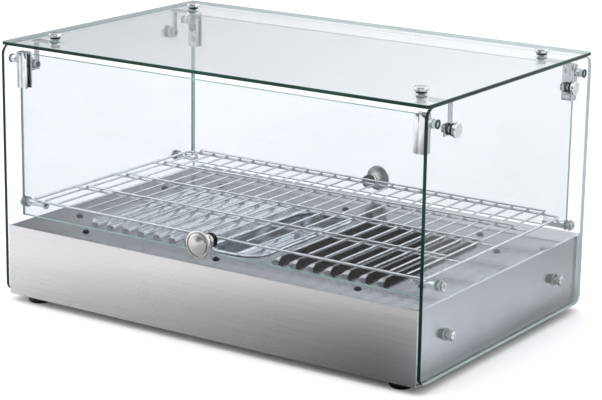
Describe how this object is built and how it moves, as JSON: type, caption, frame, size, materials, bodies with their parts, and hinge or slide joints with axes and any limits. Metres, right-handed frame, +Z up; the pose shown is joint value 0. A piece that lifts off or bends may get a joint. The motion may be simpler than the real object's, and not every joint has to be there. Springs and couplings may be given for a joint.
{
  "type": "hot food display case",
  "caption": "Countertop hot food display case with a heated steel base, a louvred deck, a water pan, a lift-out wire shelf and hinged glass doors front and rear",
  "frame": {"origin": "on the surface the feet stand on, under the middle of the whole object's box", "axes": "+X to the right along the width as seen from the front, -Y is the front with the pictured door, +Z up"},
  "size_m": [0.571, 0.384, 0.3105],
  "materials": {
    "sheet_steel": "brushed stainless sheet",
    "polished_steel": "polished stainless steel",
    "plated_steel": "bright plated steel wire",
    "plain_screws": "zinc plated steel",
    "dark_screws": "blackened steel",
    "clear_glass": "clear toughened float glass",
    "black_rubber": "black rubber",
    "clear_nylon": "natural nylon",
    "black_nylon": "black nylon",
    "black_plastic": "moulded black plastic",
    "amber_lens": "clear amber plastic",
    "green_rocker": "clear green plastic",
    "ceramic": "glazed ceramic",
    "heater_sheath": "heat-tinted steel tube",
    "wire_insulation": "silicone wire insulation"
  },
  "bodies": {
    "case": {"base_tray": "sheet_steel", "deck_cover": "sheet_steel", "deck_rails": "sheet_steel", "heat_shield": "sheet_steel", "heater_left": "heater_sheath", "heater_right": "heater_sheath", "heater_hangers": "sheet_steel", "control_baffle": "sheet_steel", "thermostat_body": "ceramic", "thermal_cutout": "black_plastic", "switch_housing": "black_plastic", "pilot_lamp_body": "black_plastic", "pilot_lamp_lens": "amber_lens", "terminal_block": "ceramic", "cord_gland": "black_nylon", "gland_nut": "black_nylon", "wiring_loom": "wire_insulation", "feet": "dark_screws", "foot_screws": "plain_screws", "deck_screws": "dark_screws", "end_screws": "plain_screws", "end_washers": "clear_nylon", "side_glass_left": "clear_glass", "side_glass_right": "clear_glass", "top_glass": "clear_glass", "corner_brackets_left": "polished_steel", "corner_brackets_right": "polished_steel", "top_buttons": "polished_steel", "top_washers": "black_rubber", "top_nuts": "plain_screws", "side_buttons": "polished_steel", "side_washers": "black_rubber", "side_nuts": "plain_screws", "pivot_bushes": "black_nylon", "pivot_spacers": "polished_steel", "shelf_pins": "polished_steel", "shelf_pin_screws": "plain_screws", "shelf_pin_washers": "clear_nylon"},
    "front_door": {"front_door_glass": "clear_glass", "front_hinge_clamps": "polished_steel", "front_clamp_pads": "black_rubber", "front_clamp_screws": "plain_screws", "front_pivot_pins": "plain_screws", "front_knob": "polished_steel", "front_knob_washers": "black_rubber", "front_knob_screw": "plain_screws"},
    "rear_door": {"rear_door_glass": "clear_glass", "rear_hinge_clamps": "polished_steel", "rear_clamp_pads": "black_rubber", "rear_clamp_screws": "plain_screws", "rear_pivot_pins": "plain_screws", "rear_knob": "polished_steel", "rear_knob_washers": "black_rubber", "rear_knob_screw": "plain_screws"},
    "shelf": {"shelf_frame": "plated_steel", "shelf_wires": "plated_steel", "shelf_top_wires": "plated_steel"},
    "pan": {"water_pan": "polished_steel"},
    "dial": {"dial_knob": "black_plastic", "dial_shaft": "plain_screws"},
    "switch_rocker": {"rocker": "green_rocker"}
  },
  "joints": [
    {"name": "front_door_hinge", "type": "hinge", "parent": "case", "child": "front_door", "pos_m": [0, -0.166, 0.282], "axis": [-1, 0, 0], "range_deg": [0, 110]},
    {"name": "rear_door_hinge", "type": "hinge", "parent": "case", "child": "rear_door", "pos_m": [0, 0.156, 0.282], "axis": [1, 0, 0], "range_deg": [0, 110]},
    {"name": "shelf_lift", "type": "slide", "parent": "case", "child": "shelf", "axis": [0, 0, 1], "range_m": [0, 0.12]},
    {"name": "pan_lift", "type": "slide", "parent": "case", "child": "pan", "axis": [0, 0, 1], "range_m": [0, 0.014]},
    {"name": "dial_turn", "type": "hinge", "parent": "case", "child": "dial", "pos_m": [-0.16, 0.178, 0.052], "axis": [0, 1, 0], "range_deg": [0, 270]},
    {"name": "rocker_tip", "type": "hinge", "parent": "case", "child": "switch_rocker", "pos_m": [-0.07, 0.177, 0.052], "axis": [1, 0, 0], "range_deg": [0, 14]}
  ]
}
